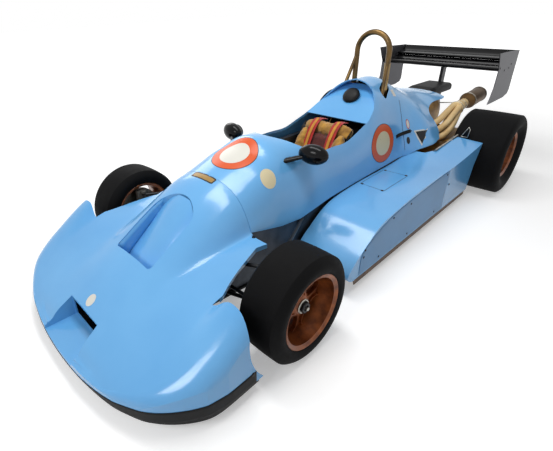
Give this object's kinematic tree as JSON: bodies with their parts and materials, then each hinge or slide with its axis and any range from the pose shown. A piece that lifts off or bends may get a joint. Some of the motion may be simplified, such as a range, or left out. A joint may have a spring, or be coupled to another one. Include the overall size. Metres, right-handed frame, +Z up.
{
  "type": "single-seater racing car",
  "caption": "Open-wheel single-seater racing car with full-width nose, side pods, open cockpit, roll hoop, side exhaust and rear wing.",
  "frame": {"origin": "on the ground at the centre of the car's length and width", "axes": "+Z up, the nose points to -Y, +X is the car's left"},
  "size_m": [1.7214, 4.13, 1.2559],
  "materials": {
    "tyre": "matt",
    "wheel_gold": "satin",
    "blue_paint": "gloss",
    "black_paint": "gloss",
    "dark_panel": "satin",
    "tub_metal": "satin",
    "skirt_brown": "matt",
    "cast_metal": "cast",
    "pipe_cream": "satin",
    "silencer_metal": "heat tinted",
    "endplate_grey": "satin",
    "hoop_bronze": "satin",
    "seat_cloth": "woven",
    "belt_red": "webbing",
    "pad_black": "matt",
    "grip_leather": "matt",
    "disc_steel": "ground",
    "shaft_steel": "satin"
  },
  "bodies": {
    "root": {"nose_panel": "blue_paint", "cockpit_cowl": "blue_paint", "engine_cover": "blue_paint", "side_pod_left": "blue_paint", "side_pod_right": "blue_paint", "duct_ramp": "blue_paint", "nose_splitter": "black_paint", "airbox": "black_paint", "mirrors": "black_paint", "wing_main": "black_paint", "wing_flap": "black_paint", "wing_post": "black_paint", "front_wishbones": "black_paint", "track_rods": "black_paint", "rear_wishbones": "black_paint", "undertray": "dark_panel", "dash_panel": "dark_panel", "monocoque_tub": "tub_metal", "nose_radiator": "tub_metal", "pod_skirts": "skirt_brown", "engine_block": "cast_metal", "gearbox": "cast_metal", "exhaust_primaries": "pipe_cream", "silencer": "silencer_metal", "wing_endplates": "endplate_grey", "roll_hoop": "hoop_bronze", "seat": "seat_cloth", "harness": "belt_red", "headrest_pad": "pad_black", "rear_uprights": "cast_metal"},
    "wheel_front_left": {"rim_front_left": "wheel_gold", "tyre_front_left": "tyre", "brake_disc_left": "disc_steel"},
    "wheel_front_right": {"rim_front_right": "wheel_gold", "tyre_front_right": "tyre", "brake_disc_right": "disc_steel"},
    "wheel_rear_left": {"rim_rear_left": "wheel_gold", "tyre_rear_left": "tyre", "driveshaft_left": "shaft_steel"},
    "wheel_rear_right": {"rim_rear_right": "wheel_gold", "tyre_rear_right": "tyre", "driveshaft_right": "shaft_steel"},
    "knuckle_left": {"front_upright_left": "cast_metal"},
    "knuckle_right": {"front_upright_right": "cast_metal"},
    "steering": {"steering_wheel": "grip_leather"}
  },
  "joints": [
    {"name": "steer_left", "type": "hinge", "parent": "root", "child": "knuckle_left", "pos_m": [0.56, -1.22, 0.262], "axis": [0, 0, 1], "range_deg": [-16, 16]},
    {"name": "steer_right", "type": "hinge", "parent": "root", "child": "knuckle_right", "pos_m": [-0.56, -1.22, 0.262], "axis": [0, 0, 1], "range_deg": [-16, 16]},
    {"name": "steering_turn", "type": "hinge", "parent": "root", "child": "steering", "pos_m": [0, -0.56, 0.585], "axis": [0, -0.9397, -0.342], "range_deg": [-180, 180]},
    {"name": "spin_front_left", "type": "hinge", "parent": "knuckle_left", "child": "wheel_front_left", "pos_m": [0.68, -1.22, 0.262], "axis": [1, 0, 0], "continuous": true},
    {"name": "spin_front_right", "type": "hinge", "parent": "knuckle_right", "child": "wheel_front_right", "pos_m": [-0.68, -1.22, 0.262], "axis": [1, 0, 0], "continuous": true},
    {"name": "spin_rear_left", "type": "hinge", "parent": "root", "child": "wheel_rear_left", "pos_m": [0.67, 1.24, 0.312], "axis": [1, 0, 0], "continuous": true},
    {"name": "spin_rear_right", "type": "hinge", "parent": "root", "child": "wheel_rear_right", "pos_m": [-0.67, 1.24, 0.312], "axis": [1, 0, 0], "continuous": true}
  ],
  "couplings": [
    {"joint": "steer_right", "follows": "steer_left", "ratio": 1},
    {"joint": "steering_turn", "follows": "steer_left", "ratio": 11}
  ]
}
